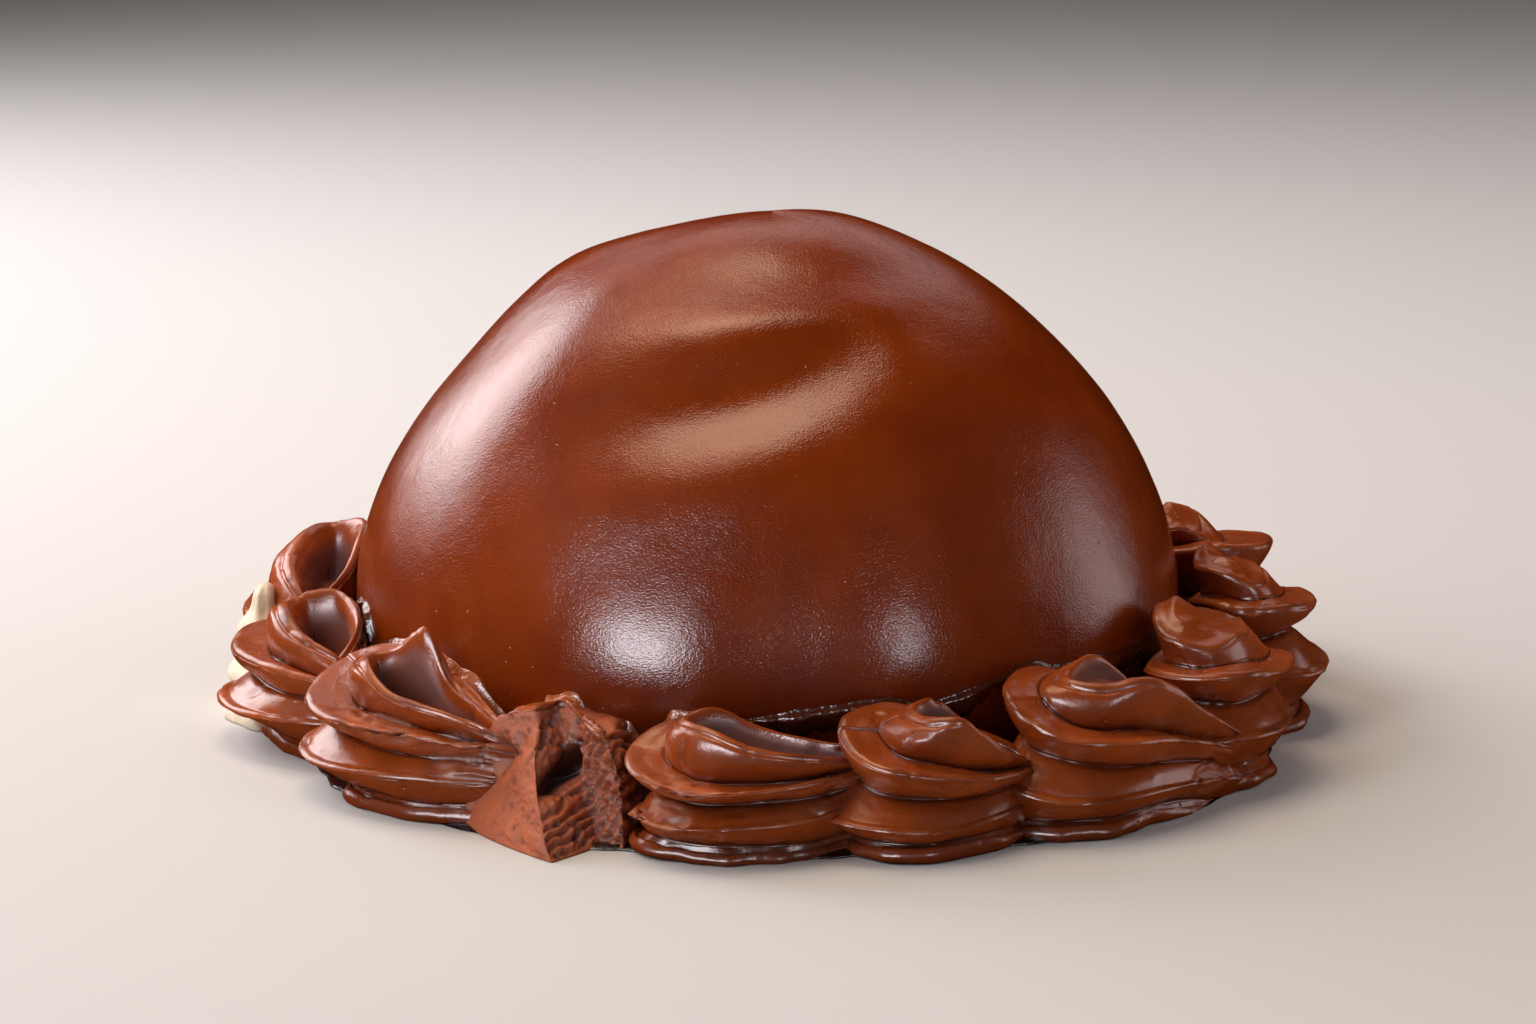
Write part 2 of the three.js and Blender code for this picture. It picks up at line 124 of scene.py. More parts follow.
# What each swirl has of its own, in order round the cake from the front.
SWIRLS = [
    dict(
        turn=-4.5, size=0.95, hollow=6,
        foot=dict(out=15, height=2.2),
        low=dict(head=-24, out=18.5),
        mid=dict(head=-26, out=17, height=22.5, tail_height=19, rise=5.5),
        curl=dict(head=-14, tail=33, out=11, height=28, tail_height=18, peak_at=-7),
    ),
    dict(
        turn=15.5, size=0.95, hollow=4,
        foot=dict(head=-18, out=17.5, height=2.5),
        low=dict(head=-24, out=18, height=10.5, tail_height=8, rise=2.5),
        mid=dict(head=-19, out=16.5, height=27, tail_height=13, rise=6),
        curl=dict(
            head=-4, tail=29, out=12, back=6, height=28, tail_height=13, peak=5.5, peak_at=5,
            peak_width=9,
        ),
    ),
    dict(
        turn=38, hollow=3, sweep=1.2, tail_bend=(3, 13, -7),
        foot=dict(out=16, tail=32),
        low=dict(tail=35, out=17.5, height=12, tail_height=9, rise=3),
        mid=dict(tail=36, out=16.5, height=29.5, tail_height=13, rise=6.5),
        curl=dict(
            head=-10, tail=38, out=12, back=6, height=31.5, tail_height=14, peak=5.5, peak_at=5,
            peak_width=10,
        ),
    ),
    dict(
        turn=62, hollow=-1.5, curl_valley=6, curl_valley_at=0.1, edge=2.2, curl_fullness=1.1, dip=0,
        foot=dict(out=14),
        low=dict(out=19, height=15, tail_height=13, rise=0.5),
        mid=dict(out=16.5, height=28.5, rise=0, taper=0.6),
        curl=dict(
            head=-19, tail=24, out=9, back=11, shift=-2, height=35, tail_height=30, peak=2,
            peak_at=-4, rise=3,
        ),
    ),
    dict(
        turn=90, hollow=-1.5, curl_valley=6, curl_valley_at=0.1, edge=2.2, curl_fullness=1.1, dip=0,
        foot=dict(out=14),
        low=dict(out=19, height=16, tail_height=13, rise=0),
        mid=dict(out=14.5, height=31, rise=-1, taper=0.6),
        curl=dict(
            head=-17, tail=20, out=7, back=11, shift=-3, height=36.5, tail_height=33, peak=2,
            peak_at=6, rise=3,
        ),
    ),
    dict(
        turn=114, hollow=-1, curl_valley=9, curl_valley_at=0.12, edge=2.2, curl_fullness=1.15,
        foot=dict(out=14),
        low=dict(out=16),
        mid=dict(out=17, height=35, rise=-1, taper=0.6),
        curl=dict(
            head=-10, tail=14, out=7, shift=-6, height=37, tail_height=34, peak=4.5, peak_at=2,
            peak_width=5,
        ),
    ),
    dict(turn=137),
    dict(turn=160, size=1.03, curl=dict(height=33)),
    dict(turn=183, size=0.97, mid=dict(height=23), curl=dict(height=30, peak=3)),
    dict(turn=208, curl=dict(height=32, peak_at=2)),
    dict(
        turn=235, size=1.02, hollow=10,
        low=dict(out=16),
        mid=dict(out=15),
        curl=dict(head=-15, out=9, back=9, taper=0.6, height=36),
    ),
    dict(
        turn=260, size=1.07, hollow=12, curl_valley=7, curl_valley_at=0.02, edge=2.9,
        foot=dict(out=14),
        mid=dict(head=-25, out=20.5, height=22.5, rise=1.5),
        curl=dict(head=-13, tail=24, out=8.5, back=9, taper=0.55, height=37, peak=1),
    ),
    dict(
        turn=284, size=1.07, hollow=12, curl_valley=8, curl_valley_at=0.02, edge=2.5,
        foot=dict(head=-21, out=11),
        low=dict(head=-24, out=21, height=10.5),
        mid=dict(head=-25, out=17.5, height=22.5, rise=1),
        curl=dict(head=-8, tail=23, out=8, back=9, taper=0.55, height=31, peak=1),
    ),
    dict(
        turn=312.5, size=1.08, hollow=8,
        foot=dict(head=-14, out=13),
        low=dict(head=-28, out=17, height=11.5, tail_height=9, rise=2),
        mid=dict(head=-27, out=15, height=24.5, tail_height=15),
        curl=dict(
            head=-14, tail=31, out=9, height=27.5, tail_height=15, peak=10.5, peak_at=-3,
            peak_width=6, one_sided=0.85, rise=-1,
        ),
    ),
]

# The broken swirl, with an upright edge like the back of a knife at its front.
TORN = dict(
    turn=-26, height=27, left=-21, right=19, back=-16, edge_foot=(9, 20.5), edge_top=(-7, -4.5),
    plane_slope=0.5, break_slope=3.2, break_foot=5, break_top=-9, break_curve=0.022,
    hole_along=3.2, hole_up=15.5, hole_width=1.7, hole_height=3.4, hole_depth=8, strand_step=2.4,
)

# The dab of pale cream squeezed out beyond the swirls on the left.
DAB = dict(turn=-90, radius=125.4, half_length=17, half_width=8.5, height=30)


def colour_setting(name, colour, description):
    """A colour in the panel."""
    return FloatVectorProperty(
        name=name, description=description, default=colour, subtype="COLOR", size=3
    )


def length_setting(name, length, description):
    """A length in the panel, in metres."""
    return FloatProperty(name=name, description=description, default=length, unit="LENGTH")


class DomeSettings(bpy.types.PropertyGroup):
    """Sizes and colours of the dome's covering."""

    unevenness: length_setting("Unevenness", 0.35 * MM, "Height of the slow waves in the covering")
    columns: IntProperty(name="Columns", description="Points round the dome", default=288, min=48)
    rows: IntProperty(name="Rows", description="Points from foot to top", default=170, min=24)
    # The deep and warm colours lie in random patches over the covering, not where the light falls.
    deep_colour: colour_setting(
        "Deep colour", (0.19, 0.025, 0.0014), "Chocolate in the shaded parts"
    )
    warm_colour: colour_setting(
        "Warm colour", (0.25, 0.038, 0.0028), "Chocolate where the covering is thin"
    )


class SwirlSettings(bpy.types.PropertyGroup):
    """Sizes and colours of the piped swirls."""

    unevenness: length_setting("Unevenness", 0.6 * MM, "Height of the lumps in the piped surface")
    columns: IntProperty(name="Columns", description="Points round a lip", default=128, min=18)
    # Deep colour: the darker tone of random patches, and the painted shade in the valleys, hollows
    # and foot.
    deep_colour: colour_setting(
        "Deep colour", (0.14, 0.019, 0.0016), "Chocolate cream in the valleys"
    )
    body_colour: colour_setting("Body colour", (0.38, 0.072, 0.009), "Chocolate cream on the faces")
    # Rim colour: the painted glow of light through thin rims, and also the colour of the specks and
    # of torn crumbs.
    rim_glow_and_crumb_colour: colour_setting(
        "Rim colour", (0.46, 0.12, 0.028), "Chocolate cream where a lip is thin"
    )


class TornSettings(bpy.types.PropertyGroup):
    """Sizes and colours of the broken swirl."""

    roughness_depth: length_setting("Tear depth", 1.3 * MM, "Depth of the pores in the torn face")
    columns: IntProperty(name="Columns", description="Points round the piece", default=360, min=40)
    rows: IntProperty(name="Rows", description="Points up the piece", default=110, min=10)
    skin_colour: colour_setting("Skin colour", (0.50, 0.112, 0.028), "The smooth broken plane")
    # Pore colour: painted shade in the pores, the hole and over the break.
    pore_shade_colour: colour_setting("Pore colour", (0.10, 0.016, 0.003), "Inside the pores")


class DabSettings(bpy.types.PropertyGroup):
    """Colour of the pale cream."""

    cream_colour: colour_setting("Cream colour", (0.80, 0.68, 0.54), "The pale cream")


class GlazeSettings(bpy.types.PropertyGroup):
    """Sizes and colours of the melted glaze."""

    bead_radius: length_setting(
        "Bead radius", 0.85 * MM, "Half the thickness of the glaze where the swirls meet the dome"
    )
    film_height: length_setting(
        "Film height", 0.8 * MM, "Thickness of the glaze that ran out under the swirls"
    )
    film_colour: colour_setting("Film colour", (0.05, 0.005, 0.001), "Dark glaze")
    # Bead colour: the glaze's own caramel tone, brightened to paint the glow of light through the
    # thin glaze.
    bead_colour: colour_setting("Bead colour", (0.50, 0.13, 0.03), "Thin melted glaze")


class StageSettings(bpy.types.PropertyGroup):
    """The floor, the light and the camera."""

    floor_colour: colour_setting("Floor colour", (0.62, 0.64, 0.665), "The plain pale floor")
    camera_distance: length_setting(
        "Camera distance", 1.0, "From the camera to the middle of the cake's foot"
    )
    camera_climb: FloatProperty(
        name="Camera climb",
        description="How far the camera stands above the level of the foot",
        default=math.radians(15.456),
        unit="ROTATION",
    )


# ---- shared tools


def fixed_random(a, b):
    """A fixed random number from 0 to 1 for each pair of whole numbers."""
    value = math.sin(a * 12.9898 + b * 78.233) * 43758.5453
    return value - math.floor(value)


def lattice_value(x, y, z, seed):
    """A fixed random number from 0 to 1 for each cell of a lattice."""
    mixed = (x * 73856093) ^ (y * 19349663) ^ (z * 83492791) ^ (seed * 40503)
    mixed = ((mixed ^ (mixed >> 13)) & 0xFFFFFFFF) * 1274126177 & 0xFFFFFFFF
    return ((mixed ^ (mixed >> 16)) & 0xFFFF) / 65535


def soft_noise(points, cell, seed):
    """Noise from -1 to 1 that changes over about one cell, in millimetres."""
    scaled = np.asarray(points) / cell
    corner = np.floor(scaled)
    share = scaled - corner
    share = share * share * (3 - 2 * share)
    x, y, z = (corner[..., axis].astype(np.int64) for axis in range(3))
    total = 0
    for step in range(8):
        dx, dy, dz = step & 1, (step >> 1) & 1, (step >> 2) & 1
        weight = 1
        for axis, far in enumerate((dx, dy, dz)):
            weight = weight * (share[..., axis] if far else 1 - share[..., axis])
        total = total + weight * lattice_value(x + dx, y + dy, z + dz, seed)
    return total * 2 - 1


def layered_noise(points, cell, seed, layers=3):
    """Soft noise with finer and weaker layers on top, from about -1 to 1."""
    total = 0
    for layer in range(layers):
        total = total + soft_noise(points, cell / 2**layer, seed + layer) / 2**layer
    return total / (2 - 0.5 ** (layers - 1))


def smooth_step(low, high, values):
    """0 below low, 1 above high, and a soft slope between."""
    share = np.clip((values - low) / (high - low), 0, 1)
    return share * share * (3 - 2 * share)


def round_the_cake(turn, along, out, up):
    """Points given along, out and up from a turn on the swirls' line."""
    angle = math.radians(turn) + along / RING_RADIUS
    radius = RING_RADIUS + out
    return np.stack([radius * np.sin(angle), -radius * np.cos(angle), up], axis=-1)


def axes_at(turn):
    """Unit vectors along and out at a turn round the cake."""
    angle = math.radians(turn)
    along = np.array([math.cos(angle), math.sin(angle), 0])
    out = np.array([math.sin(angle), -math.cos(angle), 0])
    return along, out


def finer_rows(rows, times):
    """Puts a smooth curve through the rows of a grid and takes more rows from it."""
    count = len(rows)
    steps = np.linspace(0, count - 1, (count - 1) * times + 1)
    start = np.minimum(steps.astype(int), count - 2)
    share = (steps - start).reshape([-1] + [1] * (rows.ndim - 1))
    before = rows[np.maximum(start - 1, 0)]
    first = rows[start]
    second = rows[start + 1]
    after = rows[np.minimum(start + 2, count - 1)]
    first_slope = (second - before) / 2
    second_slope = (after - first) / 2
    square, cube = share**2, share**3
    return (
        (2 * cube - 3 * square + 1) * first
        + (cube - 2 * square + share) * first_slope
        + (3 * square - 2 * cube) * second
        + (cube - square) * second_slope
    )


def grid_normals(grid):
    """Outward normals of a grid whose columns run round, seen from above, anticlockwise."""
    round_step = np.roll(grid, -1, axis=1) - np.roll(grid, 1, axis=1)
    normal = np.cross(round_step, np.gradient(grid, axis=0))
    length = np.linalg.norm(normal, axis=-1, keepdims=True)
    return normal / np.maximum(length, 1e-9)


def ring_faces(rows, columns, closed_rows=False):
    """Quads between neighbouring rows of a grid whose columns run round."""
    row_starts = np.arange(rows if closed_rows else rows - 1)[:, None] * columns
    column = np.arange(columns)[None, :]
    following = (column + 1) % columns
    next_row = (row_starts + columns) % (rows * columns)
    corners = (row_starts + column, row_starts + following, next_row + following, next_row + column)
    return np.stack(corners, axis=-1).reshape(-1, 4).tolist()


def make_object(name, points, faces, finish, marks=None):
    """A smooth mesh object from points in millimetres, with its finish and its marks."""
    mesh = bpy.data.meshes.new(name)
    mesh.from_pydata((points * MM).tolist(), [], faces)
    mesh.polygons.foreach_set("use_smooth", [True] * len(mesh.polygons))
    for mark, values in (marks or {}).items():
        layer = mesh.attributes.new(mark, "FLOAT", "POINT")
        layer.data.foreach_set("value", np.ascontiguousarray(values, dtype=np.float32))
    mesh.materials.append(finish)
    mesh.update()
    mesh.validate()
    made = bpy.data.objects.new(name, mesh)
    bpy.context.scene.collection.objects.link(made)
    return made


def skinned(name, grid, finish, marks=None, top=None):
    """A closed object over a stack of rings, lowest first, with a point at each end."""
    rows, columns, _ = grid.shape
    ends = np.stack([grid[0].mean(axis=0), grid[-1].mean(axis=0) if top is None else top])
    points = np.concatenate([grid.reshape(-1, 3), ends])
    faces = ring_faces(rows, columns)
    bottom, tip, last = rows * columns, rows * columns + 1, (rows - 1) * columns
    for column in range(columns):
        following = (column + 1) % columns
        faces.append([bottom, following, column])
        faces.append([tip, last + column, last + following])
    padded = {}
    for mark, values in (marks or {}).items():
        values = np.broadcast_to(values, (rows, columns)).reshape(-1)
        padded[mark] = np.concatenate([values, [values[0], values[-1]]])
    return make_object(name, points, faces, finish, padded)


def stand_in(piece, nodes):
    """The piece rides on the cake and stands for its solids, which it hides."""
    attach(piece, BODY)
    for node in nodes:
        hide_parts(node)
    return piece


# ---- finishes


class Amount:
    """A shader socket that takes part in plain arithmetic."""

    def __init__(self, recipe, socket):
        self.recipe = recipe
        self.socket = socket

    def _maths(self, operation, first, second):
        settings = {"operation": operation}
        return self.recipe.node("ShaderNodeMath", settings, {0: first, 1: second})

    def __add__(self, other):
        return self._maths("ADD", self, other)

    def __sub__(self, other):
        return self._maths("SUBTRACT", self, other)

    def __rsub__(self, other):
        return self._maths("SUBTRACT", other, self)

    def __mul__(self, other):
        return self._maths("MULTIPLY", self, other)

    __radd__ = __add__
    __rmul__ = __mul__


class Recipe:
    """The node tree of one finish."""

    def __init__(self, name):
        self.material = bpy.data.materials.new(name)
        self.material.use_nodes = True
        self.tree = self.material.node_tree
        self.tree.nodes.clear()

    def node(self, kind, settings=None, sockets=None, output=0):
        """Adds a node, sets its settings, then its sockets, and gives one output, if any."""
        made = self.tree.nodes.new(kind)
        for setting, value in (settings or {}).items():
            setattr(made, setting, value)
        for key, value in (sockets or {}).items():
            if isinstance(value, Amount):
                self.tree.links.new(value.socket, made.inputs[key])
            else:
                made.inputs[key].default_value = value
        if output is None:
            return None
        return Amount(self, made.outputs[output])

    def place(self, stretch=(1, 1, 1)):
        """Where a point lies on the object, in metres, stretched along the axes."""
        coordinates = self.node("ShaderNodeTexCoord", output="Object")
        if stretch == (1, 1, 1):
            return coordinates
        sockets = {0: coordinates, 1: stretch}
        return self.node("ShaderNodeVectorMath", {"operation": "MULTIPLY"}, sockets)

    def noise(self, size, detail=2, roughness=0.5, stretch=(1, 1, 1)):
        """Noise from 0 to 1 whose patches are about size metres across."""
        sockets = {"Vector": self.place(stretch), "Scale": 1 / size}
        sockets |= {"Detail": detail, "Roughness": roughness}
        return self.node("ShaderNodeTexNoise", None, sockets)

    def cells(self, size):
        """Distance from the nearest of some scattered points, in cells of size metres."""
        sockets = {"Vector": self.place(), "Scale": 1 / size}
        return self.node("ShaderNodeTexVoronoi", {"feature": "F1"}, sockets)

    def mark(self, name):
        """A number that the mesh carries at each of its points."""
        return self.node("ShaderNodeAttribute", {"attribute_name": name}, output="Fac")

    def slope(self, value, low, high):
        """0 where the value is below low, 1 above high, and a soft slope between."""
        settings = {"interpolation_type": "SMOOTHSTEP", "clamp": True}
        sockets = {"Value": value, "From Min": low, "From Max": high}
        return self.node("ShaderNodeMapRange", settings, sockets)

    def mix(self, mask, first, second):
        """Goes from the first colour to the second as the mask goes from 0 to 1."""
        settings = {"data_type": "RGBA", "clamp_factor": True}
        sockets = {0: mask, 6: opaque(first), 7: opaque(second)}
        return self.node("ShaderNodeMix", settings, sockets, output=2)

    def relief(self, *layers):
        """A normal tilted by layers: each has a height from 0 to 1, its metres and its strength."""
        sockets = {}
        for height, distance, strength in layers:
            sockets |= {"Height": height, "Distance": distance, "Strength": strength}
            sockets["Normal"] = self.node("ShaderNodeBump", None, sockets)
        return sockets["Normal"]

    def finished(self, **sockets):
        """Closes the recipe with its surface and gives the material."""
        named = {}
        for key, value in sockets.items():
            named[key.replace("_", " ").title().replace("Ior", "IOR")] = value
        surface = self.node("ShaderNodeBsdfPrincipled", None, named)
        self.node("ShaderNodeOutputMaterial", None, {"Surface": surface}, output=None)
        return self.material


def opaque(colour):
    """A colour with full alpha, or a shader socket as it is."""
    if isinstance(colour, Amount):
        return colour
    return (*colour, 1.0)


def darker(share, colour):
    """A colour with a share of its light."""
    return tuple(share * part for part in colour)


def covering_finish(settings):
    """Satin chocolate glaze: fine leathery creases, tiny blisters and warm thin patches."""
    recipe = Recipe("chocolate covering")
    patches = recipe.noise(0.045, detail=3) * 0.6 + recipe.noise(0.012) * 0.4
    warm = recipe.slope(patches, 0.35, 0.7)
    colour = recipe.mix(warm, settings.deep_colour, settings.warm_colour)
    blister = recipe.slope(recipe.cells(0.0065), 0.055, 0.02)
    colour = recipe.mix(blister * 0.5, colour, (0.34, 0.12, 0.055))
    creases = recipe.noise(0.00055, stretch=(1, 1, 1.5))
    dimples = recipe.noise(0.0034, detail=3)
    relief = recipe.relief((dimples, 0.0003, 0.3), (creases, 0.0002, 0.5), (blister, 0.0003, 0.6))
    gloss = recipe.noise(0.02) * 0.08 + 0.145
    return recipe.finished(base_color=colour, roughness=gloss, normal=relief)


def piped_finish(settings):
    """Glossy chocolate cream, with painted shade in its valleys, hollows and foot and a painted
    orange-brown glow at its thin rims.
    """
    recipe = Recipe("piped chocolate cream")
    body = recipe.noise(0.016, detail=3)
    fuller = recipe.slope(body, 0.3, 0.75)
    colour = recipe.mix(fuller, settings.deep_colour, settings.body_colour)
    colour = recipe.mix(recipe.mark("face") * 0.5, colour, settings.body_colour)
    # Painted glow: thin rims are tinted in patches towards the rim colour, as if light shone
    # through them.
    thin = recipe.mark("rim") * recipe.slope(recipe.noise(0.011), 0.35, 0.65)
    colour = recipe.mix(thin * 0.45, colour, settings.rim_glow_and_crumb_colour)
    # Painted shade: the valleys between lips, the curl's hollow and the foot are pulled towards the
    # deep colour.
    for mark, amount in (("valley", 0.85), ("hollow", 0.75), ("foot", 0.4)):
        colour = recipe.mix(recipe.mark(mark) * amount, colour, settings.deep_colour)
    specks = recipe.slope(recipe.cells(0.004), 0.09, 0.04)
    colour = recipe.mix(specks * 0.35, colour, settings.rim_glow_and_crumb_colour)
    ripples = recipe.noise(0.0035, detail=3)
    grain = recipe.noise(0.0007)
    pits = recipe.slope(recipe.cells(0.0075), 0.075, 0.03) * -1
    relief = recipe.relief((ripples, 0.0005, 0.22), (grain, 0.00012, 0.45), (pits, 0.0006, 0.7))
    torn = recipe.mark("torn")
    crumb = recipe.slope(recipe.noise(0.0025, detail=3), 0.35, 0.65)
    torn_colour = recipe.mix(crumb, settings.body_colour, settings.rim_glow_and_crumb_colour)
    colour = recipe.mix(torn * 0.75, colour, torn_colour)
    shine = recipe.noise(0.009) * 0.14 + 0.21
    gloss = shine + torn * 0.25 + recipe.mark("hollow") * 0.55
    return recipe.finished(base_color=colour, roughness=gloss, normal=relief)


def torn_finish(settings):
    """Dull broken chocolate cream, full of pores."""
    recipe = Recipe("torn chocolate cream")
    patches = recipe.noise(0.006, detail=4, roughness=0.6)
    # Painted shade: the pore mark darkens the pores, the hole and the break towards the pore
    # colour.
    pores = recipe.mark("pore_shade")
    shade = darker(0.72, settings.skin_colour)
    colour = recipe.mix(recipe.slope(patches, 0.25, 0.75), shade, settings.skin_colour)
    colour = recipe.mix(pores, colour, settings.pore_shade_colour)
    grain = recipe.noise(0.0007, detail=3, roughness=0.65)
    relief = recipe.relief((patches, 0.0006, 0.5), (grain, 0.0003, 0.7))
    gloss = 0.62 - recipe.mark("wet") * 0.38
    return recipe.finished(
        base_color=colour, roughness=gloss, normal=relief, specular_ior_level=0.4
    )


def cream_finish(settings):
    """Soft pale cream."""
    recipe = Recipe("pale cream")
    patches = recipe.noise(0.008, detail=3)
    shade = darker(0.8, settings.cream_colour)
    colour = recipe.mix(recipe.slope(patches, 0.3, 0.7), shade, settings.cream_colour)
    relief = recipe.relief((recipe.noise(0.003, detail=3), 0.0006, 0.5))
    return recipe.finished(
        base_color=colour, roughness=0.5 + patches * 0.1, normal=relief, specular_ior_level=0.4
    )


def glaze_finish(name, colour):
    """Wet melted glaze, almost a mirror, and paler where it is marked as thick."""
    recipe = Recipe(name)
    streaks = recipe.noise(0.007, detail=3) * 0.7 + recipe.mark("thick") * 0.35
    dark = (0.22 * colour[0], 0.14 * colour[1], 0.1 * colour[2])
    shade = recipe.mix(recipe.slope(streaks, 0.48, 0.66), dark, colour)
    relief = recipe.relief((recipe.noise(0.0022, detail=3), 0.0007, 0.7))
    return recipe.finished(
        base_color=shade,
        roughness=0.2 + streaks * 0.08,
        normal=relief,
        coat_weight=0.15,
        coat_roughness=0.08,
    )


def floor_finish(settings):
    """Plain pale matt paint."""
    recipe = Recipe("pale floor")
    patches = recipe.noise(0.4)
    colour = settings.floor_colour
    shade = darker(0.985, colour)
    return recipe.finished(
        base_color=recipe.mix(patches, shade, colour), roughness=0.75, specular_ior_level=0.25
    )


# ---- dome


def dome_reach(turn, climb):
    """Distance from the middle of the waist to the covering, in given directions."""
    sideways = np.cos(np.radians(climb)) / DOME["radius"]
    half_height = np.where(climb > 0, DOME["rise"], DOME["skirt"])
    upwards = np.sin(np.radians(climb)) / half_height
    power = DOME["power"]
    reach = (np.abs(sideways) ** power + np.abs(upwards) ** power) ** (-1 / power)
    for lump_turn, lump_climb, wide, high, lean, amount in LUMPS:
        turn_away = (turn - lump_turn + 180) % 360 - 180
        across = turn_away * math.cos(math.radians(lump_climb))
        over = climb - lump_climb
        lean = math.radians(lean)
        along_lump = across * math.cos(lean) + over * math.sin(lean)
        over_lump = over * math.cos(lean) - across * math.sin(lean)
        fall = (along_lump / wide) ** 2 + (over_lump / high) ** 2
        reach = reach + amount * np.exp(-fall)
    return reach


def dome_points(turn, climb, lift=0):
    """Points on the covering, or lifted off it."""
    reach = dome_reach(turn, climb) + lift
    level = reach * np.cos(np.radians(climb))
    return np.stack(
        [
            DOME["offset_x"] + level * np.sin(np.radians(turn)),
            -level * np.cos(np.radians(turn)),
            DOME["waist_z"] + reach * np.sin(np.radians(climb)),
        ],
        axis=-1,
    )


def above_dome(points):
    """How far points lie outside the covering, with their turn and climb."""
    away = points - np.array([DOME["offset_x"], 0, DOME["waist_z"]])
    distance = np.linalg.norm(away, axis=-1)
    turn = np.degrees(np.arctan2(away[..., 0], -away[..., 1]))
    climb = np.degrees(np.arcsin(np.clip(away[..., 2] / distance, -1, 1)))
    return distance - dome_reach(turn, climb), turn, climb


def dome_grid(settings):
    """The covering as rings from the foot to just under the top."""
    lowest = -math.degrees(math.atan2(DOME["waist_z"], DOME["foot_reach"]))
    climbs = np.linspace(lowest, 90, settings.rows, endpoint=False)
    turns = np.linspace(0, 360, settings.columns, endpoint=False)
    turn, climb = np.meshgrid(turns, climbs)
    grid = dome_points(turn, climb)
    waves = layered_noise(grid, 21, seed=3)
    fade = smooth_step(90, 70, climb) * 0.7 + 0.3
    grid = dome_points(turn, climb, lift=settings.unevenness / MM * waves * fade)
    grid[0, :, 2] = 0
    return grid


def build_dome(settings):
    """The dome's covering, closed at its foot and its top."""
    grid = dome_grid(settings)
    top = dome_points(np.array(0.0), np.array(90.0))
    return skinned("dome_covering", grid, covering_finish(settings), top=top)


# ---- swirls


def with_own_sizes(own):
    """A plain swirl with some sizes of its own."""
    swirl = {**PLAIN_SWIRL, **own}
    for lip in ("foot", "low", "mid", "curl"):
        swirl[lip] = {**PLAIN_LIP, **PLAIN_SWIRL[lip], **own.get(lip, {})}
    return swirl


def between(lower, upper, share):
    """A lip between two others, a share of the way up."""
    return {key: lower[key] + (upper[key] - lower[key]) * share for key in upper}


def loop_points(swirl, lip, angle, inset, lift):
    """One lip's loop as along, out and up. The angle is 0 at the tail and pi at the head."""
    half = np.sin(angle / 2)
    head = lip["head"] + inset
    tail = lip["tail"] - inset * 0.35
    along = (tail + head) / 2 + (tail - head) / 2 * np.cos(angle)
    outer = np.maximum(lip["out"] - inset, 0.3)
    inner = np.maximum(lip["back"] - inset * 0.5, 0.3)
    width = np.where(np.sin(angle) > 0, outer, inner)
    fullest = 0.78
    out = width * np.sin(angle) * half ** lip["taper"] / fullest + lip["shift"]
    tail_height = lip["tail_height"] + lift * 0.7
    height = lip["height"] + lift
    peak = lip["peak"] * np.exp(-(((along - lip["peak_at"]) / lip["peak_width"]) ** 2))
    peak = peak * (1 - lip["one_sided"] * (1 + np.sin(angle)) / 2)
    sunk = lip["rise"] * np.sin(angle) * half
    up = tail_height + (height - tail_height) * half ** swirl["sweep"] - sunk + peak
    return np.stack([along, out, up], axis=-1)


def rising_rows(swirl, lower, upper, valley):
    """Rows from one lip's rim, down its top to the valley, and up to the next rim."""
    at, depth, fullness, slope, dip = valley
    edge = swirl["edge"]
    rim = edge * 0.9
    rows = []
    for share in (0.15, 0.32, 0.5, 0.68, 0.85):
        inset = rim + (depth - rim) * share**slope
        rows.append((between(lower, upper, at * share), inset, -dip * share**2, "face"))
    rows.append((between(lower, upper, at), depth, -0.3 - dip, "valley"))
    rows.append((between(lower, upper, at), depth * 0.96, 0.3 - dip, "valley"))
    for share in (0.12, 0.26, 0.42, 0.58, 0.74, 0.88):
        lip = between(lower, upper, at + (1 - at) * share)
        rows.append((lip, depth * (1 - share) ** fullness, -dip * (1 - share) ** 2, "face"))
    round_rim = [(0.02, -0.4, "face"), (0.1, -0.08, "rim"), (0.4, 0.15, "rim"), (0.9, 0.22, "face")]
    for inset, lift, kind in round_rim:
        rows.append((upper, edge * inset, edge * lift, kind))
    return rows


def hollow_row(swirl, share, inset_more=0):
    """The curl's loop sunk a share of the way into its hollow."""
    curl = swirl["curl"]
    is_open = min(max(swirl["hollow"] / 6, 0), 1)
    lip = {
        **curl,
        "height": curl["height"] - swirl["hollow"] * share,
        "tail_height": curl["tail_height"] - 2 * is_open * share,
        "peak": curl["peak"] * (1 - is_open * share),
    }
    kind = "hollow" if share > 0.3 and is_open else "face"
    lift = swirl["edge"] * 0.22 * (1 - is_open)
    return lip, swirl["edge"] * (1.3 + 1.4 * share) + inset_more, lift, kind


